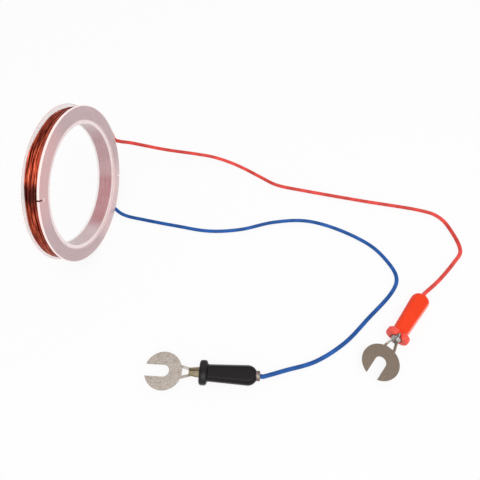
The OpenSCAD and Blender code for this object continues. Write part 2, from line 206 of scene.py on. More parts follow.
class PlugSettings(bpy.types.PropertyGroup):
    """The two fork plugs"""
    collar_width: length("Collar width", "Width of the collar", 8.8 * MM)
    collar_height: length("Collar height", "Height of the collar", 6.2 * MM)
    red: colour("Red", "Colour of the red handle", (1.0, 0.056, 0.011))
    # The edge colours are painted sheen on the bevels and the collar, and made paler they are the painted
    # highlight along one side; the red one also colours the red sleeve's end.
    red_edge: colour("Red edge", "Colour of the red handle's bevels and collar", (1.0, 0.115, 0.088))
    black: colour("Black", "Colour of the black handle", (0.0055, 0.003, 0.0035))
    black_edge: colour("Black edge", "Colour of the black handle's bevels and collar", (0.016, 0.014, 0.014))
    metal: colour("Sleeve", "Colour of the black plug's sleeve where it is rubbed", (0.32, 0.27, 0.235))
    metal_dull: colour("Dull sleeve", "Colour of that sleeve where it is dull", (0.13, 0.1, 0.08))
    steel: colour("Steel", "Colour of the plated fork of the black plug", (0.385, 0.337, 0.297))
    # Painted shade: the red plug's fork is a darker copy of the same plating as the black plug's.
    shaded_steel: colour("Dull steel", "Colour of the dulled fork of the red plug", (0.2, 0.157, 0.122))
    brass: colour("Barrel", "Colour of the barrel of the black plug's fork", (0.25, 0.205, 0.13))
    # Painted highlight on one strip of each fork's neck.
    strip_highlight: colour("Bent strip", "Colour that one strip of a fork turns towards", (0.8, 0.79, 0.78))


class Link:
    """One socket of a material's nodes, so that shader maths is written as plain expressions."""

    def __init__(self, tree, socket=None):
        self.tree = tree
        self.socket = socket

    def add(self, kind, settings=None, inputs=None, out=0):
        """Adds a node, with its settings first and then the values or links of its sockets."""
        made = self.tree.nodes.new(kind)
        for name, value in (settings or {}).items():
            setattr(made, name, value)
        for name, value in (inputs or {}).items():
            if isinstance(value, Link):
                self.tree.links.new(value.socket, made.inputs[name])
            else:
                made.inputs[name].default_value = value
        return Link(self.tree, made.outputs[out])

    def maths(self, operation, first, second=0.0):
        return self.add("ShaderNodeMath", {"operation": operation}, {0: first, 1: second})

    def __add__(self, other):
        return self.maths("ADD", self, other)

    __radd__ = __add__

    def __sub__(self, other):
        return self.maths("SUBTRACT", self, other)

    def __rsub__(self, other):
        return self.maths("SUBTRACT", other, self)

    def __mul__(self, other):
        return self.maths("MULTIPLY", self, other)

    __rmul__ = __mul__

    def __abs__(self):
        return self.maths("ABSOLUTE", self)

    def most(self, other):
        """The larger of two values."""
        return self.maths("MAXIMUM", self, other)

    def ramp(self, low, high, start=0.0, end=1.0):
        """Smooth change from start to end while the value goes from low to high."""
        return self.add("ShaderNodeMapRange", {"interpolation_type": "SMOOTHSTEP"},
                        {0: self, 1: low, 2: high, 3: start, 4: end})

    def spread(self, start=0.0, end=1.0):
        """Noise stretched over its usual range, from start to end."""
        return self.ramp(NOISE_LOW, NOISE_HIGH, start, end)

    def facing(self, angle, low, high):
        """One near an angle and nothing away from it, with the cosines where it starts and is full."""
        return self.maths("COSINE", self - angle).ramp(low, high)

    def mix(self, first, second):
        """Colour between two colours, with this value as the share of the second."""
        return self.add("ShaderNodeMix", {"data_type": "RGBA"}, {0: self, 6: first, 7: second}, out=2)

    def here(self):
        """Place of the shaded point, in metres."""
        return self.add("ShaderNodeTexCoord", out="Object")

    def split(self, place):
        """The three coordinates of a place."""
        return [self.add("ShaderNodeSeparateXYZ", None, {0: place}, out=k) for k in range(3)]

    def join(self, x, y, z=0.0):
        """A place from its three coordinates."""
        return self.add("ShaderNodeCombineXYZ", None, {0: x, 1: y, 2: z})

    def grain(self, scale, place=None, detail=3.0):
        """Noise at a place, or over the whole piece."""
        return self.add("ShaderNodeTexNoise", None, {"Vector": place or self.here(), "Scale": scale,
                                                     "Detail": detail})

    def bump(self, height, distance, strength):
        return self.add("ShaderNodeBump", None,
                        {"Height": height, "Distance": distance, "Strength": strength})

    def around(self):
        """Axial place, radius and angle of a point about the coil's axis."""
        x, y, z = self.split(self.here())
        up = z - AXIS_Z
        return x, self.maths("SQRT", y * y + up * up), self.maths("ARCTAN2", up, y)


def rgba(tint, factor=1.0, lift=0.0):
    """Opaque colour from a tint, which can be made darker or paler."""
    return (*(min(1.0, v * factor + lift) for v in tint), 1.0)


def finish(name, paint, **fixed):
    """Material whose shader has fixed values, with what paint gives linked to its sockets."""
    made = bpy.data.materials.new(name)
    made.use_nodes = True
    tree = made.node_tree
    shader = next(n for n in tree.nodes if n.type == "BSDF_PRINCIPLED")
    for socket, value in fixed.items():
        shader.inputs[socket.replace("_", " ")].default_value = value
    for socket, link in paint(Link(tree)).items():
        tree.links.new(link.socket, shader.inputs[socket])
    return made


def wear(made, material):
    """Gives an object one material in place of its own."""
    made.data.materials.clear()
    made.data.materials.append(material)


def put(name, data):
    """Object with this data, in the scene."""
    made = bpy.data.objects.new(name, data)
    bpy.context.scene.collection.objects.link(made)
    return made


def mesh_of(name, points, faces):
    """Mesh whose faces all look outwards."""
    mesh = bpy.data.meshes.new(name)
    mesh.from_pydata([tuple(p) for p in points], [], faces)
    work = bmesh.new()
    work.from_mesh(mesh)
    bmesh.ops.recalc_face_normals(work, faces=work.faces)
    work.to_mesh(mesh)
    work.free()
    return mesh


def smooth(mesh, sharp):
    """Shades a mesh smooth, apart from edges that turn by more than an angle in degrees."""
    mesh.polygons.foreach_set("use_smooth", [True] * len(mesh.polygons))
    mesh.set_sharp_from_angle(angle=math.radians(sharp))


def show(name, shape, material, replaced, sharp):
    """Puts points and faces in the scene as one piece that rides on the part, in place of solids."""
    mesh = mesh_of(name, *shape)
    smooth(mesh, sharp)
    made = put(name, mesh)
    wear(made, material)
    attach(made, "root")
    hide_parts(*replaced)
    return made


def smooth_step(value, low, high):
    """Smooth rise from zero to one while the value goes from low to high."""
    share_done = min(1.0, max(0.0, (value - low) / (high - low)))
    return share_done * share_done * (3 - 2 * share_done)


def smooth_curve(points, steps):
    """Points of a smooth curve through route points."""
    made = []
    for i in range(len(points) - 1):
        a, b, c, d = (points[max(i - 1, 0)], points[i], points[i + 1], points[min(i + 2, len(points) - 1)])
        for k in range(steps):
            t = k / steps
            made.append((2 * b + (c - a) * t + (2 * a - 5 * b + 4 * c - d) * t * t
                         + (3 * b - a - 3 * c + d) * t ** 3) / 2)
    return made + [points[-1]]


def coil_point(x, radius, angle, ahead=0.0):
    """Point of the coil, moved along the turn's tangent."""
    return Vector((x, radius * math.cos(angle) - ahead * math.sin(angle),
                   AXIS_Z + radius * math.sin(angle) + ahead * math.cos(angle)))


def circle(sides):
    """Cosine and sine of each step round a full turn."""
    return [(math.cos(2 * math.pi * k / sides), math.sin(2 * math.pi * k / sides)) for k in range(sides)]


def skin(rings, sides, first=0, closed=False):
    """Faces between rings of points, and from the last ring to the first where they are closed."""
    faces = []
    for i in range(rings if closed else rings - 1):
        here, there = first + i * sides, first + (i + 1) % rings * sides
        faces += [(here + k, here + (k + 1) % sides, there + (k + 1) % sides, there + k)
                  for k in range(sides)]
    return faces


def tube(points, radius, sides, reference=Vector((1, 0, 0)), first=0):
    """Points and faces of a closed tube along points."""
    rings = []
    steps = circle(sides)
    for i, point in enumerate(points):
        along = (points[min(i + 1, len(points) - 1)] - points[max(i - 1, 0)]).normalized()
        side = (reference - reference.dot(along) * along).normalized()
        up = along.cross(side)
        rings += [point + radius * (c * side + s * up) for c, s in steps]
    faces = skin(len(points), sides, first)
    faces.append(tuple(first + k for k in reversed(range(sides))))
    faces.append(tuple(first + (len(points) - 1) * sides + k for k in range(sides)))
    return rings, faces


def lathe(profile, segments):
    """Points and faces of a closed profile of (axial place, radius) pairs, turned about the coil's axis."""
    points = [coil_point(x, r, 2 * math.pi * i / segments) for i in range(segments) for x, r in profile]
    return points, skin(segments, len(profile), closed=True)


def round_box(x0, x1, r0, r1, edge, steps=4):
    """Profile of a rectangle with round corners."""
    corners = [(x1 - edge, r1 - edge, 0), (x0 + edge, r1 - edge, 90), (x0 + edge, r0 + edge, 180),
               (x1 - edge, r0 + edge, 270)]
    return [(x + edge * math.cos(math.radians(turn + 90 * k / steps)),
             r + edge * math.sin(math.radians(turn + 90 * k / steps)))
            for x, r, turn in corners for k in range(steps + 1)]


def plug_matrix(pose):
    """Frame of a plug: X runs along its axis from the front of the collar towards the lead."""
    return (Matrix.Translation((pose[0] * MM, pose[1] * MM, PLUG_Z))
            @ Matrix.Rotation(math.radians(pose[2]), 4, "Z") @ Matrix.Rotation(PLUG_PITCH, 4, "Y"))


def in_plug(link, pose):
    """Place of a shaded point in the frame of a plug."""
    place = plug_matrix(pose)
    return link.add("ShaderNodeMapping", {"vector_type": "TEXTURE"},
                    {"Vector": link.here(), "Location": place.to_translation(), "Rotation": place.to_euler()})


class COIL_OT_stage(bpy.types.Operator):
    """Camera, floor, lamp and room light"""
    bl_idname = "coil.stage"
    bl_label = "Stage"

    SENSOR_MM = 36.0
    CLIP_START = 0.005
    FLOOR_HALF = 3.0
    LAMP_SIZE = 0.5
    LAMP_PLACE = (0.22, -0.2, 0.6)
    LAMP_TARGET = (0.06, 0.0, 0.0)

    def execute(self, context):
        values = context.scene.coil_stage
        context.scene.view_settings.view_transform = "Standard"
        self.place_camera(context.scene)
        self.lay_floor(values)
        self.light(context.scene, values)
        return {"FINISHED"}

    def place_camera(self, scene):
        data = bpy.data.cameras.new("photo_camera")
        data.sensor_width = self.SENSOR_MM
        data.lens = self.SENSOR_MM * FOCAL_PX / FRAME_PX
        data.clip_start = self.CLIP_START
        camera = put("photo_camera", data)
        axes = Matrix((CAMERA_RIGHT, CAMERA_UP, CAMERA_BACK)).transposed().to_4x4()
        camera.matrix_world = Matrix.Translation(CAMERA_PLACE) @ axes
        scene.camera = camera

    def seen(self, link):
        """One where the camera looks, straight on or in a mirror or through the plastic."""
        rays = [link.add("ShaderNodeLightPath", out=name)
                for name in ("Is Camera Ray", "Is Glossy Ray", "Is Transmission Ray")]
        return link.maths("MINIMUM", rays[0] + rays[1] + rays[2], 1.0)

    def lay_floor(self, values):
        half = self.FLOOR_HALF
        corners = [(-half, -half, 0), (half, -half, 0), (half, half, 0), (-half, half, 0)]
        floor = put("floor", mesh_of("floor", corners, [(0, 1, 2, 3)]))
        material = bpy.data.materials.new("pale_floor")
        material.use_nodes = True
        tree = material.node_tree
        tree.nodes.clear()
        link = Link(tree)
        paper = link.add("ShaderNodeBsdfDiffuse", None, {"Color": rgba(values.floor)})
        white = link.add("ShaderNodeEmission", None, {"Color": WHITE, "Strength": 1.0})
        both = link.add("ShaderNodeMixShader", None, {0: self.seen(link) * values.white, 1: paper, 2: white})
        output = tree.nodes.new("ShaderNodeOutputMaterial")
        tree.links.new(both.socket, output.inputs["Surface"])
        wear(floor, material)

    def light(self, scene, values):
        world = bpy.data.worlds.new("white_room")
        world.use_nodes = True
        tree = world.node_tree
        background = next(n for n in tree.nodes if n.type == "BACKGROUND")
        background.inputs["Color"].default_value = WHITE
        level = self.seen(Link(tree)) * (1.0 - values.world) + values.world
        tree.links.new(level.socket, background.inputs["Strength"])
        scene.world = world
        lamp = bpy.data.lights.new("soft_lamp", "AREA")
        lamp.energy = values.lamp
        lamp.size = self.LAMP_SIZE
        made = put("soft_lamp", lamp)
        made.location = self.LAMP_PLACE
        made.rotation_euler = (Vector(self.LAMP_TARGET) - made.location).to_track_quat("-Z", "Y").to_euler()


class COIL_OT_leads(bpy.types.Operator):
    """The red and the blue lead"""
    bl_idname = "coil.leads"
    bl_label = "Leads"

    ROUND_STEPS = 5
    # Scales of the sheath's patches, of its marks from handling and of its skin.
    PATCHES, HANDLED, SKIN = 220.0, 1900.0, 3500.0

    def execute(self, context):
        values = context.scene.coil_leads
        self.lay("red", RED_ROUTE, "red", values, values.red)
        self.lay("blue", BLUE_ROUTE, "black", values, values.blue)
        return {"FINISHED"}

    def lay(self, name, route, plug, values, tint):
        """One lead's sheath along its route, in place of the lead's solid."""
        points = [Vector(p) * MM for p in route]
        path = [points[0]] + smooth_curve(points[1:-1], values.steps) + [points[-1]]
        data = bpy.data.curves.new(name + "_sheath", "CURVE")
        data.dimensions = "3D"
        data.bevel_depth = values.diameter / 2
        data.bevel_resolution = self.ROUND_STEPS
        data.use_fill_caps = True
        spline = data.splines.new("POLY")
        spline.points.add(len(path) - 1)
        for place, point in zip(spline.points, path):
            place.co = (*point, 1.0)
        spline.use_smooth = True
        made = put(name + "_sheath", data)
        wear(made, self.sheath(name, tint))
        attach(made, "root")
        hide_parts(name + "_lead")
        real = sum((b - a).length for a, b in zip(path, path[1:]))

    def sheath(self, name, tint):
        """Soft PVC: paler in patches, and duller where it has been handled."""
        def paint(link):
            patches = link.grain(self.PATCHES)
            handled = link.grain(self.HANDLED, detail=2.0)
            uneven = link.grain(self.SKIN, detail=2.0)
            return {"Base Color": patches.ramp(0.3, 0.72).mix(rgba(tint, 0.82), rgba(tint, 1.25, 0.012)),
                    "Roughness": handled.spread(0.32, 0.46), "Normal": link.bump(uneven, 0.03 * MM, 0.35)}
        return finish(name + "_pvc", paint, IOR=1.5, Specular_IOR_Level=0.24)


class COIL_OT_winding(bpy.types.Operator):
    """The copper winding and the tail of its start"""
    bl_idname = "coil.winding"
    bl_label = "Winding"

    WIRE_SIDES, TAIL_SIDES, SHARP = 8, 10, 60
    # Ring under the wire: radius, gap to the bobbin, round edge and steps round the axis.
    CORE_R, CORE_GAP, CORE_EDGE, CORE_STEPS = 27.35 * MM, 0.05 * MM, 0.1 * MM, 192
    WALL_GAP = 0.06 * MM
    # Passes of the wire from side to side: turns, and in millimetres the radius, the sway and the lift.
    PASSES = ((9, 28.1, 0.12, 0.02), (8, 28.55, 0.3, 0.05), (7, 28.98, 0.42, 0.06))
    # Noises that move the wire: waves in one turn, and for each its pace and where in the noise it is read.
    WAVES_PER_TURN = 5.5
    SLOW_SWAY, QUICK_SWAY, LIFT = (1.0, 3.7, 0.0), (2.3, 9.1, 4.0), (1.4, 21.3, 8.0)
    # Steps of the wire between the points of its rise to a joint, and steps of the curve through them.
    RISE, RISE_STEPS = 4, 5
    # Scales of the streaks of painted highlight and painted shade across, round and into the winding, of the
    # enamel's grain and of the edge of the painted dark reflection.
    STREAKS, FINE, RAGGED = (3000.0, 7.0, 1500.0), 5200.0, (2600.0, 2.0)
    # Radii where the wire lies in full shade and in full light.
    SHADE_R, LIGHT_R = 28.0 * MM, 29.05 * MM

    def execute(self, context):
        values = context.scene.coil_winding
        points, faces = tube(self.path(values), values.wire / 2, self.WIRE_SIDES)
        half = GROOVE_HALF - self.CORE_GAP
        profile = round_box(-half, half, TUBE_R + self.CORE_GAP, self.CORE_R, self.CORE_EDGE, 2)
        core, core_faces = lathe(profile, self.CORE_STEPS)
        faces += [tuple(v + len(points) for v in face) for face in core_faces]
        show("copper_turns", (points + core, faces), self.enamel(values),
             ["winding_inner", "winding_outer"], self.SHARP)
        across = Vector((0, math.sin(SLIT_ANGLE), -math.cos(SLIT_ANGLE)))
        show("wire_tail", tube(self.tail(), TAIL_R, self.TAIL_SIDES, across), self.tail_enamel(values),
             ["start_tail"], self.SHARP)
        return {"FINISHED"}

    def path(self, values):
        """One unbroken wire from the red joint to the blue one, in passes from side to side."""
        limit = GROOVE_HALF - self.WALL_GAP - values.wire / 2
        turns = sum(run[0] for run in self.PASSES)
        whole = turns + (BLUE_JOINT_ANGLE - RED_JOINT_ANGLE) / (2 * math.pi)
        count = round(whole * values.steps)
        made = []
        for i in range(count + 1):
            turn = whole * i / count
            x, radius = self.place(turn * turns / whole, turn)
            angle = RED_JOINT_ANGLE + 2 * math.pi * turn
            dip = DIP * smooth_step(math.cos(angle - DIP_ANGLE), DIP_START, DIP_FULL)
            radius = min(radius, WIRE_TOP_R - values.wire / 2) - dip
            made.append(coil_point(max(-limit, min(limit, x)), radius, angle))
        first = coil_point(WIRE_EDGE_X, JOINT_LOW_R, RED_JOINT_ANGLE)
        last = coil_point(-WIRE_EDGE_X, JOINT_LOW_R, BLUE_JOINT_ANGLE)
        start, stop = 2 * self.RISE, -2 * self.RISE - 1
        down = smooth_curve([first, made[self.RISE], made[start]], self.RISE_STEPS)
        up = smooth_curve([made[stop], made[-self.RISE - 1], last], self.RISE_STEPS)
        return down[:-1] + made[start:stop] + up

    def place(self, done, turn):
        """Axial place and radius of the wire after some turns."""
        side = 1
        for run in self.PASSES:
            if done <= run[0] or run is self.PASSES[-1]:
                break
            done -= run[0]
            side = -side
        count, radius, sideways, lift = run
        sway = self.wave(turn, *self.SLOW_SWAY) + 0.5 * self.wave(turn, *self.QUICK_SWAY)
        x = side * (1 - 2 * done / count) * WIRE_EDGE_X + 2 * sideways * MM * sway
        return x, (radius + 2 * lift * self.wave(turn, *self.LIFT)) * MM

    def wave(self, turn, pace, *where):
        """Smooth noise along the wire."""
        return noise.noise(Vector((turn * self.WAVES_PER_TURN * pace, *where)))

    def tail(self):
        """Start of the wire: over the turns, into the slit and down its front."""
        top, low, sway, steps = 29.6, 28.18, 0.04 * MM, 4
        bends = [(2.2, top - 0.1), (2.45, top), (2.7, top + 0.02), (2.95, top - 0.05), (3.05, top - 0.3),
                 (3.06, 28.9), (3.05, 28.5), (3.02, low + 0.1), (2.9, low + 0.02), (2.62, low)]
        points = [coil_point(x * MM, r * MM, SLIT_ANGLE, sway * math.sin(3 * r)) for x, r in bends]
        return smooth_curve(points, steps)

    def enamel(self, values):
        """Enamelled copper with streaks of painted highlight and painted shade, painted shade deep in the
        winding and away from a painted highlight band, and a band of painted dark reflection near the slit.
        """
        def paint(link):
            x, radius, angle = link.around()
            across, along, into = self.STREAKS
            # Streaks of painted highlight and painted shade along the turns.
            strands = link.grain(1.0, link.join(x * across, angle * along, radius * into))
            tone = strands.ramp(0.36, 0.5).mix(rgba(values.dark), rgba(values.middle))
            tone = strands.ramp(0.53, 0.68).mix(tone, rgba(values.bright))
            dip = angle.facing(DIP_ANGLE, DIP_START, DIP_FULL) * DIP
            tone = (radius + dip).ramp(self.SHADE_R, self.LIGHT_R).mix(rgba(values.middle, 0.35), tone)
            # Painted highlight band: away from it the wire is darkened towards the dark band colour as
            # painted shade, less so at the bottom.
            clean = 1.0 - abs(angle - HIGHLIGHT_BAND_ANGLE).ramp(math.radians(6), math.radians(20))
            lower = angle.facing(LOWER_ANGLE, 0.86, 0.95)
            tone = ((1.0 - clean) * (0.42 - lower * 0.3)).mix(tone, rgba(values.dark_band))
            # Band of painted dark reflection across the turns, with a ragged edge.
            across, along = self.RAGGED
            ragged = link.grain(1.0, link.join(x * across, angle * along), 2.0)
            reflection_band = 1.0 - abs(angle - REFLECTION_BAND_ANGLE + (ragged - 0.5) * 0.3).ramp(0.06, 0.13)
            return {"Base Color": (reflection_band * 0.9).mix(tone, rgba(values.dark_band)),
                    "Roughness": link.grain(self.FINE, detail=2.0).spread(0.28, 0.42)}
        return finish("enamelled_wire", paint, IOR=1.55, Metallic=0.75)

    def tail_enamel(self, values):
        """Dark enamel of the tail, in patches of the dark band colour and the dark colour."""
        def paint(link):
            patches = link.grain(1500.0)
            return {"Base Color": patches.ramp(0.35, 0.65).mix(rgba(values.dark_band), rgba(values.dark)),
                    "Roughness": patches.spread(0.3, 0.5)}
        return finish("dark_tail_wire", paint, Metallic=0.3)


class COIL_OT_bobbin(bpy.types.Operator):
    """The clear bobbin: core tube, slit flange and plain flange"""
    bl_idname = "coil.bobbin"
    bl_label = "Bobbin"

    SEGMENTS, SHARP = 256, 40
    # Block that cuts a slit: its reach along the axis and outwards, and the corners of its faces.
    CUT_X, CUT_R = (2 * MM, 4.5 * MM), (SLIT_FOOT_R, 32 * MM)
    BLOCK = ((0, 1, 3, 2), (4, 6, 7, 5), (0, 4, 5, 1), (2, 3, 7, 6), (0, 2, 6, 4), (1, 5, 7, 3))
    # Scales of the clouds in the flanges and in the tube, of the specks, and of the turns that show through.
    CLOUDS, TUBE_CLOUDS, SPECKS, TURNS = 170.0, 230.0, 2600.0, (2600.0, 3.0)
    # Radii over which the flanges turn whitish: the rims, the front one's foot, and the mark under its slit.
    FACE_RIM, REAR_RIM, FACE_FOOT = (29.68 * MM, 29.9 * MM), (29.5 * MM, 29.9 * MM), (25.05 * MM, 25.25 * MM)
    MARK_R, MARK_LONG, MARK_WIDE = 27.5 * MM, (0.15 * MM, 0.45 * MM), (0.012, 0.03)
    # Axial places of the rear rim's two edges.
    REAR_BACK, REAR_FRONT = (-3.4 * MM, -3.2 * MM), (-2.9 * MM, -2.75 * MM)
    # Where the turns show through the tube, along the axis and into its wall, and where its lip starts.
    TURNS_START, TURNS_STOP, WALL = (-3.3 * MM, -2.9 * MM), (2.5 * MM, 2.8 * MM), (23.8 * MM, 24.6 * MM)
    LIP = (2.6 * MM, 2.9 * MM)
    # How much stronger the rear flange's glow of painted light is than the front's.
    REAR_GLOW = 2.5

    def execute(self, context):
        values = context.scene.coil_bobbin
        edge = values.round_edge
        inner, outer, bore_r = GROOVE_HALF, GROOVE_HALF + FLANGE_T, TUBE_R + FLANGE_GAP
        parts = (
            ("bobbin_tube", "core_tube", (*TUBE_ENDS, TUBE_BORE_R, TUBE_R), self.wall(values)),
            ("slit_flange", "front_flange", (inner, outer, bore_r, FLANGE_R), self.face(values)),
            ("plain_flange", "rear_flange", (-outer, -inner, bore_r, FLANGE_R), self.rear(values)),
        )
        for name, node, box, plastic in parts:
            shape = lathe(round_box(*box, edge), self.SEGMENTS)
            made = show(name, shape, plastic, [node], self.SHARP)
            if node == "front_flange":
                self.cut_slits(made)
        return {"FINISHED"}

    def cut_slits(self, flange):
        """Two narrow slits in the rim, opposite each other."""
        points, faces = [], []
        for turn in (SLIT_ANGLE, SLIT_ANGLE + math.pi):
            faces += [tuple(len(points) + k for k in face) for face in self.BLOCK]
            points += [coil_point(x, r, turn, t) for x in self.CUT_X for r in self.CUT_R
                       for t in (-SLIT_W / 2, SLIT_W / 2)]
        cutter = put("slit_cutter", mesh_of("slit_cutter", points, faces))
        cut = flange.modifiers.new("slits", "BOOLEAN")
        cut.operation = "DIFFERENCE"
        cut.solver = "EXACT"
        cut.object = cutter
        done = flange.evaluated_get(bpy.context.evaluated_depsgraph_get())
        mesh = bpy.data.meshes.new_from_object(done)
        flange.modifiers.clear()
        flange.data = mesh
        smooth(mesh, self.SHARP)
        bpy.data.objects.remove(cutter)

    def turns_behind(self, link, across, angle):
        """Faint lines of the turns that show through the plastic."""
        return link.grain(1.0, link.join(across * self.TURNS[0], angle * self.TURNS[1]))

    def face(self, values):
        """Front flange: rosy on its near side where the turns show through, mauve at its top and bottom as
        painted shade, pale on its far side, and whitish at its edges, which gather light.
        """
        def paint(link):
            _, radius, angle = link.around()
            clouds = link.grain(self.CLOUDS)
            lines = self.turns_behind(link, radius, angle)
            # Colour by angle: rosy on the near side, pale on the far side, and mauve painted shade at the top
            # and bottom.
            body = angle.facing(NEAR_ANGLE, 0.74, 0.95).mix(rgba(values.mauve), rgba(values.rosy))
            body = angle.facing(FAR_ANGLE, 0.68, 0.97).mix(body, rgba(values.pale))
            hazy = (lines.ramp(0.35, 0.7) * 0.6 + clouds.ramp(0.35, 0.7) * 0.4) * 0.14
            body = hazy.mix(body, rgba(values.milky))
            rim = radius.ramp(*self.FACE_RIM)
            edge = rim.most((1.0 - radius.ramp(*self.FACE_FOOT)) * 0.6)
            beside = abs(angle - SLIT_ANGLE).ramp(*self.MARK_WIDE)
            beyond = abs(radius - self.MARK_R).ramp(*self.MARK_LONG)
            edge = edge.most((1.0 - beside) * (1.0 - beyond))
            return {"Base Color": edge.mix(body, rgba(values.edge)),
                    "Roughness": link.grain(self.SPECKS, detail=2.0).spread(0.2, 0.34),
                    "Alpha": edge * (1.0 - values.cover) + values.cover,
                    "Emission Color": rim.mix(BLACK, rgba(values.edge))}
        return finish("rosy_plastic", paint, IOR=1.49, Emission_Strength=values.glow)

    def wall(self, values):
        """Core tube: the turns show through its middle, with painted shade and painted light by angle, and
        its ends stay whitish and glow as painted light.
        """
        def paint(link):
            x, radius, angle = link.around()
            clouds = link.grain(self.TUBE_CLOUDS)
            lines = self.turns_behind(link, x, angle)
            behind = x.ramp(*self.TURNS_START) * (1.0 - x.ramp(*self.TURNS_STOP))
            behind = behind * (1.0 - radius.ramp(*self.WALL))
            # Painted shade makes the copper tint deepest at one angle; painted light makes it paler at the
            # lower near side and towards the top.
            shade = angle.facing(DEEP_SHADE_ANGLE, 0.86, 0.93).mix(rgba(values.dusk), rgba(values.deep))
            palest = angle.facing(PALE_ANGLE, 0.88, 0.97)
            high = link.maths("SINE", angle).ramp(0.0, 0.75)
            tint = lines.ramp(0.35, 0.7, 1.0, 0.94) - palest * 0.3 - high * 0.35
            tint = behind * (tint - clouds.spread(0.0, 0.05))
            front = x.ramp(*self.LIP)
            # Painted shade: the lip darkens towards pale rose on its far side.
            lip = (angle.facing(FAR_ANGLE, 0.5, 0.9) * 0.5).mix(rgba(values.lip), rgba(values.pale))
            ends = front.mix(rgba(values.milky), lip)
            return {"Base Color": tint.mix(ends, shade),
                    "Roughness": lines.spread(0.22, 0.36),
                    "Alpha": clouds.spread(values.cover, values.cover + 0.06),
                    # Painted light: the tube's whitish ends glow.
                    "Emission Color": behind.most(front * 0.4).mix(rgba(values.milky), BLACK)}
        return finish("tube_plastic", paint, IOR=1.49, Emission_Strength=values.glow)

    def rear(self, values):
        """Rear flange: clear, with a whitish haze that is denser at the rim, and a glow of painted light over
        it.
        """
        def paint(link):
            x, radius, _ = link.around()
            clouds = link.grain(self.CLOUDS)
            rim = radius.ramp(*self.REAR_RIM)
            outline = (1.0 - x.ramp(*self.REAR_BACK)).most(x.ramp(*self.REAR_FRONT)) * rim
            body = clouds.spread().mix(rgba(values.milky), rgba(values.milky, 0.96))
            cover = clouds.spread(values.rear_cover - 0.06, values.rear_cover + 0.06)
            return {"Base Color": outline.mix(body, rgba(values.outline)),
                    "Roughness": link.grain(self.SPECKS, detail=2.0).spread(0.2, 0.34),
                    "Alpha": rim * 0.3 + cover,
                    "Emission Color": outline.mix(rgba(values.milky), rgba(values.outline_glow))}
        return finish("hazy_plastic", paint, IOR=1.49, Emission_Strength=values.glow * self.REAR_GLOW)


class COIL_OT_joints(bpy.types.Operator):
    """The solder joints in the groove and the bared strands of the leads"""
    bl_idname = "coil.joints"
    bl_label = "Joints"

    # Solder: rings and points in a ring, its middle, its half sizes across, up and along, and how full it is.
    ROWS, COLUMNS = 14, 28
    MIDDLE_X, MIDDLE_R = 1.75 * MM, JOINT_LOW_R + 0.45 * MM
    HALF = (0.85 * MM, 0.45 * MM, 1.5 * MM)
    FULL = 0.72
    # Lumps of the solder: depth, scale, and how much closer they lie along it.
    LUMP, LUMP_SCALE, LUMP_LONG = 0.07, 1.7, 1.6
    # Strands: how many lie round the middle one, how far out, their length, twist, steps and sides.
    ROUND, OUT, LONG, TWIST, STEPS, SIDES = 6, 0.265 * MM, 1.3 * MM, 0.35, 12, 8
    SOLDER_SHARP, STRAND_SHARP = 80, 60

    def execute(self, context):
        values = context.scene.coil_joints
        solder, copper = self.solder(values), self.copper(values)
        for name, angle, side in (("red", RED_JOINT_ANGLE, 1), ("blue", BLUE_JOINT_ANGLE, -1)):
            show(name + "_solder", self.blob(angle, side), solder, [name + "_joint"],
                 self.SOLDER_SHARP)
            show(name + "_strands", self.strands(values, angle, side), copper,
                 [name + "_bare_end"], self.STRAND_SHARP)
        for plug in ("red", "black"):
            wear(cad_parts[plug + "_conductor"], copper)
        return {"FINISHED"}

    def blob(self, angle, side):
        """A run of solder: a round, slightly lumpy form."""
        def bulge(value):
            return math.copysign(abs(value) ** self.FULL, value)

        points = []
        for i in range(self.ROWS + 1):
            tilt = math.pi * (i / self.ROWS - 0.5)
            wide, w = bulge(math.cos(tilt)), bulge(math.sin(tilt))
            for c, s in circle(self.COLUMNS):
                u, v = wide * bulge(c), wide * bulge(s)
                uneven = noise.noise(Vector((u, v, w * self.LUMP_LONG + side)) * self.LUMP_SCALE)
                lump = 1 - self.LUMP + self.LUMP * uneven
                points.append(coil_point(side * self.MIDDLE_X + self.HALF[0] * u * lump,
                                         self.MIDDLE_R + self.HALF[1] * v * lump, angle,
                                         self.HALF[2] * w * lump))
        return points, skin(self.ROWS + 1, self.COLUMNS)

    def strands(self, values, angle, side):
        """Bared conductor: one strand in the middle and six twisted round it."""
        points, faces = [], []
        for k in range(self.ROUND + 1):
            off = 0.0 if k == self.ROUND else self.OUT
            path = []
            for i in range(self.STEPS + 1):
                turn = 2 * math.pi * (k / self.ROUND + self.TWIST * i / self.STEPS)
                ahead = -SHEATH_START + self.LONG * i / self.STEPS
                path.append(coil_point(side * LEAD_X + off * math.cos(turn), LEAD_R + off * math.sin(turn),
                                       angle, ahead))
            ring, made = tube(path, values.strand, self.SIDES, first=len(points))
            points += ring
            faces += made
        return points, faces

    def solder(self, values):
        def paint(link):
            dull = link.grain(900.0)
            return {"Base Color": dull.spread().mix(rgba(values.dull), rgba(values.solder)),
                    "Roughness": dull.spread(0.5, 0.26)}
        return finish("solder", paint, Metallic=1.0)

    def copper(self, values):
        def paint(link):
            tarnish = link.grain(1600.0)
            return {"Base Color": tarnish.spread().mix(rgba(values.tarnish), rgba(values.copper)),
                    "Roughness": tarnish.spread(0.42, 0.26)}
        return finish("bare_copper", paint, Metallic=1.0)


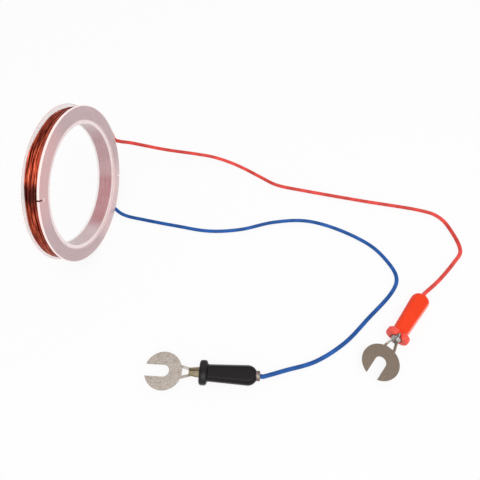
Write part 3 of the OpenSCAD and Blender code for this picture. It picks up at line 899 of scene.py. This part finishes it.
class COIL_OT_handles(bpy.types.Operator):
    """The red and the black plug handle and the sleeves round the leads at their ends"""
    bl_idname = "coil.handles"
    bl_label = "Handles"

    SIDES, SHARP = 96, 50
    # Half sizes of the paddle in millimetres, and how sharply its edges turn.
    FRONT_HALF, REAR_HALF, THICK_HALF, BEVEL = 2.9, 3.5, 2.15, 1.0
    CRISP = 22
    # Rings along the paddle, angles of those on its round end, and how far that end is closed by a point.
    BODY_RINGS, TIP = 12, 0.03
    END_ANGLES = (8, 16, 24, 32, 40, 48, 55, 61, 67, 72, 76, 79)
    # Search for the paddle's outline: farthest place in millimetres and number of halvings.
    FARTHEST, HALVINGS = 6.0, 26
    # Collar: length and round edge in millimetres, rings in that edge, and how full its oval is.
    COLLAR_LENGTH, ROUND, ROUND_RINGS, FULL = 3.0, 1.0, 7, 2.5
    # Mouth of the collar in millimetres: half sizes, depth, start of its edge, and end with half sizes.
    MOUTH, MOUTH_DEPTH, MOUTH_EDGE, MOUTH_END = (2.1, 1.96), 2.2, 0.3, (0.06, 2.18, 2.02)
    # Fillet behind the collar: place along the axis and how much fuller the paddle is there, in millimetres.
    FILLET = ((3.06, 0.22), (3.2, 0.1), (3.45, 0.03), (3.8, 0.0))
    # Dent in the top of the red collar: depth in millimetres and half width in radians.
    DENT, DENT_HALF = 1.05, 0.34
    # Notch in the front of the red collar, over the fork's barrel: depth and half width in millimetres.
    NOTCH, NOTCH_HALF = 2.3, 1.2
    # Sleeves: places counted from the end of the handle, and radii, in millimetres.
    RED_SLEEVE = ((-1.4, 1.55), (-0.6, 1.5), (0.05, 1.28), (0.2, 1.15))
    BLACK_SLEEVE = ((-1.5, 1.8), (0.65, 1.8), (0.8, 1.75), (0.88, 1.65), (0.9, 1.5))
    SLEEVE_BORE, SLEEVE_SIDES = 0.85, 48

    def execute(self, context):
        values = context.scene.coil_plugs
        red = self.plastic("red_moulding", RED_PLUG, values.red, values.red_edge, 0.36, -1.0)
        black = self.plastic("black_moulding", BLACK_PLUG, values.black, values.black_edge, 0.4, 1.0)
        self.build(self.loft(values, RED_PLUG[3], True), "red", RED_PLUG, red, self.RED_SLEEVE,
                   self.soft_red(values), "red_plastic")
        self.build(self.loft(values, BLACK_PLUG[3], False), "black", BLACK_PLUG, black, self.BLACK_SLEEVE,
                   self.dull_metal(values), "dull_metal")
        return {"FINISHED"}

    def build(self, loft, name, pose, plastic, profile, sleeve, sleeve_slot):
        """One handle and the sleeve round its lead."""
        pieces = (("_grip", loft, plastic, name + "_plastic", "_handle"),
                  ("_sleeve", self.sleeve(profile, pose[3]), sleeve, sleeve_slot, "_ferrule"))
        for ending, (points, faces), material, slot, node in pieces:
            placed = [plug_matrix(pose) @ (p * MM) for p in points]
            show(name + ending, (placed, faces), material, [name + node], self.SHARP)

    def sleeve(self, profile, long):
        """Sleeve turned about the plug's axis, open for the lead."""
        rows = [*profile, (profile[-1][0], self.SLEEVE_BORE), (profile[0][0], self.SLEEVE_BORE)]
        points = [Vector((long + x, r * c, r * s)) for x, r in rows for c, s in circle(self.SLEEVE_SIDES)]
        return points, skin(len(rows), self.SLEEVE_SIDES, closed=True)

    def soft_red(self, values):
        """Softer red plastic, paler towards the lead."""
        def paint(link):
            along = link.split(in_plug(link, RED_PLUG))[0]
            patches = link.grain(900.0)
            end = RED_PLUG[3] * MM
            paler = along.ramp(end - 1.0 * MM, end) * patches.ramp(0.2, 0.7, 0.6, 1.0)
            return {"Base Color": paler.mix(rgba(values.red), rgba(values.red_edge)),
                    "Roughness": patches.spread(0.36, 0.46)}
        return finish("soft_red", paint, IOR=1.5, Specular_IOR_Level=0.2)

    def dull_metal(self, values):
        def paint(link):
            marks = link.grain(1300.0)
            return {"Base Color": marks.spread().mix(rgba(values.metal_dull), rgba(values.metal)),
                    "Roughness": marks.spread(0.5, 0.34)}
        return finish("dull_metal", paint, Metallic=0.9)

    def loft(self, values, long, notched):
        """Rings from the bottom of the collar's mouth, over the collar and along the paddle to its end."""
        wide, high = values.collar_width / 2 / MM, values.collar_height / 2 / MM
        dent = self.DENT if notched else 0.0
        rings = [self.oval(self.MOUTH_DEPTH, *self.MOUTH), self.oval(self.MOUTH_EDGE, *self.MOUTH),
                 self.oval(*self.MOUTH_END)]
        turns = [math.pi / 2 * k / (self.ROUND_RINGS - 1) for k in range(self.ROUND_RINGS)]
        edges = [(self.ROUND * (1 - math.cos(turn)), self.ROUND * (1 - math.sin(turn))) for turn in turns]
        edges += [(self.COLLAR_LENGTH - self.ROUND * (1 - math.sin(turn)), self.ROUND * (1 - math.cos(turn)))
                  for turn in turns]
        rings += [self.oval(x, wide - inset, high - inset, max(0.0, dent - inset)) for x, inset in edges]
        if notched:
            rings = [[self.notch(point, high) for point in ring] for ring in rings]
        rings += [self.section(x, long, more) for x, more in self.FILLET]
        start, end = self.FILLET[-1][0], long - self.REAR_HALF
        rings += [self.section(start + (end - start) * k / self.BODY_RINGS, long)
                  for k in range(1, self.BODY_RINGS + 1)]
        rings += [self.section(end + self.REAR_HALF * math.sin(math.radians(a)), long)
                  for a in self.END_ANGLES]
        points = [p for ring in rings for p in ring]
        faces = skin(len(rings), self.SIDES)
        for i, x in ((0, self.MOUTH_DEPTH), (len(rings) - 1, rings[-1][0].x + self.TIP)):
            faces += [(i * self.SIDES + k, i * self.SIDES + (k + 1) % self.SIDES, len(points))
                      for k in range(self.SIDES)]
            points.append(Vector((x, 0, 0)))
        return points, faces

    def oval(self, x, wide, high, dent=0.0):
        """Ring of a full, rounded section of the collar, with a dent in its top."""
        made = []
        for k, (c, s) in enumerate(circle(self.SIDES)):
            r = (abs(c / wide) ** self.FULL + abs(s / high) ** self.FULL) ** (-1 / self.FULL)
            r -= dent * math.exp(-((2 * math.pi * k / self.SIDES - math.pi / 2) / self.DENT_HALF) ** 2)
            made.append(Vector((x, r * c, r * s)))
        return made

    def notch(self, point, high):
        """Moves a point of the collar back where the notch is, which is full from half the height upwards."""
        depth = max(0.0, 1 - abs(point.y) / self.NOTCH_HALF) * smooth_step(point.z, 0.0, high / 2)
        return Vector((point.x + depth * max(0.0, self.NOTCH - point.x), point.y, point.z))

    def section(self, x, long, more=0.0):
        """Ring of the paddle: flat faces, beveled edges and a round end."""
        end = long - self.REAR_HALF
        past = max(0.0, x - end)
        wider = (self.REAR_HALF - self.FRONT_HALF) * (x - self.COLLAR_LENGTH) / (end - self.COLLAR_LENGTH)
        reach = (self.REAR_HALF if past else self.FRONT_HALF + wider) + more
        thick = self.THICK_HALF + more

        def filled(y, z):
            out = math.hypot(past, y)
            return ((out / reach) ** self.CRISP + (abs(z) / thick) ** self.CRISP
                    + ((out + abs(z)) / (reach + thick - self.BEVEL)) ** self.CRISP)

        made = []
        for c, s in circle(self.SIDES):
            low, high = 0.0, self.FARTHEST
            for _ in range(self.HALVINGS):
                middle = (low + high) / 2
                if filled(middle * c, middle * s) < 1:
                    low = middle
                else:
                    high = middle
            made.append(Vector((x, low * c, low * s)))
        return made

    def plastic(self, name, pose, tint, edge, rough, lit_side):
        """Moulded plastic with a fine grain, with painted sheen on the collar's lobes and the bevels, and a
        painted highlight along the bevel of one side.
        """
        def paint(link):
            into = in_plug(link, pose)
            along, across, up = link.split(into)
            patches = link.grain(300.0, into)
            body = patches.spread().mix(rgba(tint, 0.95), rgba(tint))
            slope = (self.REAR_HALF - self.FRONT_HALF) / (pose[3] - self.REAR_HALF - self.COLLAR_LENGTH)
            reach = (along - self.COLLAR_LENGTH * MM) * slope + (self.FRONT_HALF - self.BEVEL) * MM
            foot = self.THICK_HALF - self.BEVEL
            sloped = abs(up).ramp((foot - 0.2) * MM, foot * MM)
            bevel = (abs(across) - reach).ramp(0.05 * MM, 0.3 * MM) * sloped
            collar = 1.0 - along.ramp(2.9 * MM, 3.3 * MM)
            # Painted sheen on the collar's lobes and, weaker, on the bevels; the collar's middle at its notch
            # stays darker as painted shade.
            lobes = collar * abs(across).ramp(0.4 * MM, 1.5 * MM, 0.25, 1.0)
            rubbed = (bevel * 0.25).most(lobes) * patches.ramp(0.2, 0.7, 0.6, 1.0)
            lit = (across * lit_side - reach).ramp(0.1 * MM, 0.5 * MM) * sloped * (1.0 - collar)
            return {"Base Color": lit.mix(rubbed.mix(body, rgba(edge)), rgba(edge, 2.4, 0.015)),
                    "Roughness": rubbed.ramp(0.0, 1.0, rough, rough - 0.14),
                    "Coat Weight": lit * 0.6 + lobes * 0.1,
                    "Normal": link.bump(link.grain(6000.0, into), 0.02 * MM, 0.15)}
        return finish(name, paint, IOR=1.5, Specular_IOR_Level=0.18, Coat_Roughness=0.12)


class COIL_OT_forks(bpy.types.Operator):
    """The forks of the plugs"""
    bl_idname = "coil.forks"
    bl_label = "Forks"

    # Length of each barrel's cone in front of its collar.
    BLACK_CONE, RED_CONE = 3.7 * MM, 1.2 * MM
    # Scales of the patches, of the specks, and of the drawn lines along and across the barrel.
    PATCHES, SPECKS, DRAWN = 420.0, 1500.0, (25.0, 1300.0)

    def execute(self, context):
        values = context.scene.coil_plugs
        grey = rgba(values.shaded_steel, 0.5, 0.27)[:3]
        bright = self.plating("bright_plating", BLACK_PLUG, values.steel, values.brass, 0.25, self.BLACK_CONE,
                              values.strip_highlight)
        # The red plug's fork wears the darker copy of the plating, as painted shade.
        dull = self.plating("shaded_plating", RED_PLUG, values.shaded_steel, grey, 0.07, self.RED_CONE, values.strip_highlight)
        wear(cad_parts["black_fork"], bright)
        wear(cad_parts["red_fork"], dull)
        return {"FINISHED"}

    def plating(self, name, pose, sheet, barrel, speckle, cone, strip_highlight):
        """Plated sheet steel with fine specks, a painted highlight on one strip, and drawn lines on the
        barrel.
        """
        def paint(link):
            into = in_plug(link, pose)
            along, across, up = link.split(into)
            patches, specks = link.grain(self.PATCHES, into), link.grain(self.SPECKS, into)
            long, wide = self.DRAWN
            drawn = link.grain(1.0, link.join(along * long, across * wide, up * wide), 2.0)
            mask = specks.ramp(0.32, 0.68) * 0.7 + patches.spread() * 0.3
            flat = mask.mix(rgba(sheet, 1 - speckle), rgba(sheet, 1 + speckle))
            rolled = drawn.ramp(0.38, 0.66).mix(rgba(barrel, 0.6), rgba(barrel, 1.6))
            # Painted highlight on one strip of the neck.
            strip = along.ramp(-cone - 2.6 * MM, -cone - 1.8 * MM) * across.ramp(0.2 * MM, 0.6 * MM)
            flat = (strip * 0.35).mix(flat, rgba(strip_highlight))
            return {"Base Color": along.ramp(-cone - 0.5 * MM, -cone + 0.2 * MM).mix(flat, rolled),
                    "Roughness": mask.ramp(0.0, 1.0, 0.5, 0.36),
                    "Normal": link.bump(specks, 0.02 * MM, 0.25)}
        return finish(name, paint, Metallic=0.9)


class COIL_PT_panel(bpy.types.Panel):
    """Pieces of the demonstration coil"""
    bl_idname = "COIL_PT_panel"
    bl_label = "Demonstration coil"
    bl_space_type = "VIEW_3D"
    bl_region_type = "UI"
    bl_category = "Coil"

    def draw(self, context):
        for operator, group in STEPS:
            box = self.layout.box()
            box.operator(operator.bl_idname)
            settings = getattr(context.scene, group)
            for name in type(settings).__annotations__:
                box.prop(settings, name)


GROUPS = {
    "coil_stage": StageSettings,
    "coil_joints": JointSettings,
    "coil_leads": LeadSettings,
    "coil_winding": WindingSettings,
    "coil_bobbin": BobbinSettings,
    "coil_plugs": PlugSettings,
}
STEPS = (
    (COIL_OT_stage, "coil_stage"),
    (COIL_OT_handles, "coil_plugs"),
    (COIL_OT_joints, "coil_joints"),
    (COIL_OT_leads, "coil_leads"),
    (COIL_OT_winding, "coil_winding"),
    (COIL_OT_bobbin, "coil_bobbin"),
    (COIL_OT_forks, "coil_plugs"),
)
CLASSES = (*GROUPS.values(), *(step[0] for step in STEPS), COIL_PT_panel)


def register():
    for made in CLASSES:
        bpy.utils.register_class(made)
    for name, group in GROUPS.items():
        setattr(bpy.types.Scene, name, PointerProperty(type=group))


def unregister():
    for name in GROUPS:
        delattr(bpy.types.Scene, name)
    for made in reversed(CLASSES):
        bpy.utils.unregister_class(made)


def main():
    register()
    bpy.ops.coil.stage()
    bpy.ops.coil.handles()
    bpy.ops.coil.joints()
    bpy.ops.coil.leads()
    bpy.ops.coil.winding()
    bpy.ops.coil.bobbin()
    bpy.ops.coil.forks()


if __name__ == "__main__":
    main()
